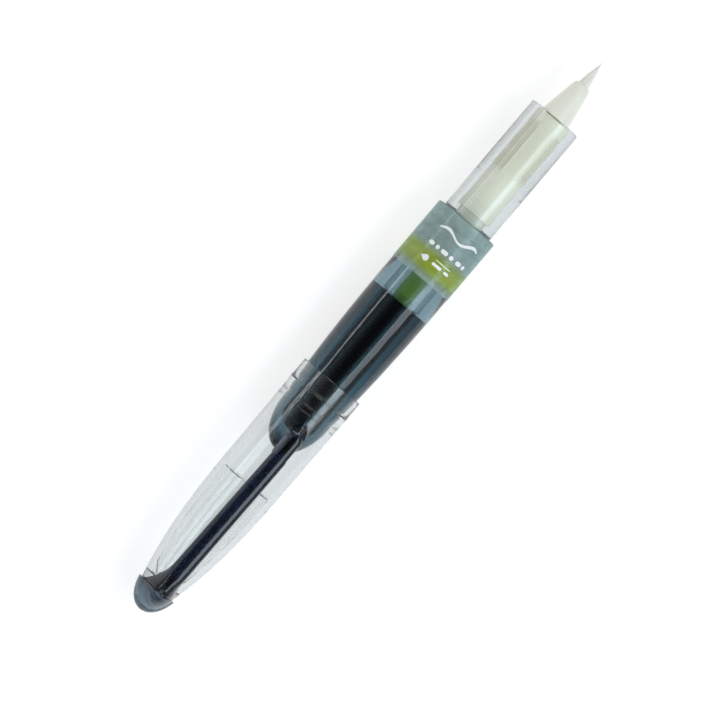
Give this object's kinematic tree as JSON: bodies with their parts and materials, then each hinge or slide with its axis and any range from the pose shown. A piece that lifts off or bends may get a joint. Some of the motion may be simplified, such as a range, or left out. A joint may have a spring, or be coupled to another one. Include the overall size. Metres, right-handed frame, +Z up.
{
  "type": "brush pen",
  "caption": "Small cartridge brush pen with a clear cap posted on its tail, a smoky threaded barrel, a clear grip section with a finned ink collector, and a soft brush tip.",
  "frame": {"origin": "centre of the pen's bounding box, on the plane that the pen lies on", "axes": "+X along the pen from the cap's crown to the point of the brush, +Z up through the clip, +Y across"},
  "size_m": [0.1284, 0.013, 0.0155],
  "materials": {
    "smoky_plastic": "polished, see-through smoky blue-grey",
    "dark_plastic": "polished, smoky blue-black where it is thick",
    "clear_plastic": "polished, clear",
    "cartridge_plastic": "milky, half clear",
    "ball_steel": "polished",
    "ink": "wet black",
    "cream_plastic": "satin",
    "lime_plastic": "satin",
    "white_plastic": "satin",
    "fibre": "fine bound fibre",
    "label_film": "thin printed film"
  },
  "bodies": {
    "barrel": {"barrel": "smoky_plastic", "label_film": "label_film"},
    "cap": {"cap_shell": "clear_plastic", "inner_cap": "clear_plastic", "cap_crown": "smoky_plastic"},
    "clip": {"clip_arm": "dark_plastic"},
    "cartridge": {"cartridge_body": "cartridge_plastic", "cartridge_ball": "ball_steel", "ink_charge": "ink"},
    "section": {"grip_section": "clear_plastic", "collector": "cream_plastic", "feed_nipple": "lime_plastic", "ink_wick": "fibre", "tip_holder": "white_plastic"},
    "brush": {"brush_tip": "fibre"}
  },
  "joints": [
    {"name": "cap_pull", "type": "slide", "parent": "barrel", "child": "cap", "axis": [-1, 0, 0], "range_m": [0, 0.025]},
    {"name": "clip_flex", "type": "hinge", "parent": "cap", "child": "clip", "pos_m": [-0.05875, 0, 0.01263], "axis": [0, -1, 0], "range_deg": [0, 5], "stiffness_Nm_per_rad": 2},
    {"name": "cartridge_travel", "type": "slide", "parent": "barrel", "child": "cartridge", "axis": [1, 0, 0], "range_m": [0, 0.01]},
    {"name": "section_screw", "type": "hinge", "parent": "cartridge", "child": "section", "pos_m": [0.02655, 0, 0.0065], "axis": [1, 0, 0], "range_deg": [0, 1801]},
    {"name": "brush_bend", "type": "hinge", "parent": "section", "child": "brush", "pos_m": [0.05855, 0, 0.0065], "axis": [0, 1, 0], "range_deg": [-20, 20], "stiffness_Nm_per_rad": 0.001}
  ],
  "couplings": [
    {"joint": "section_screw", "follows": "cartridge_travel", "rad_per_m": 3141.6}
  ]
}
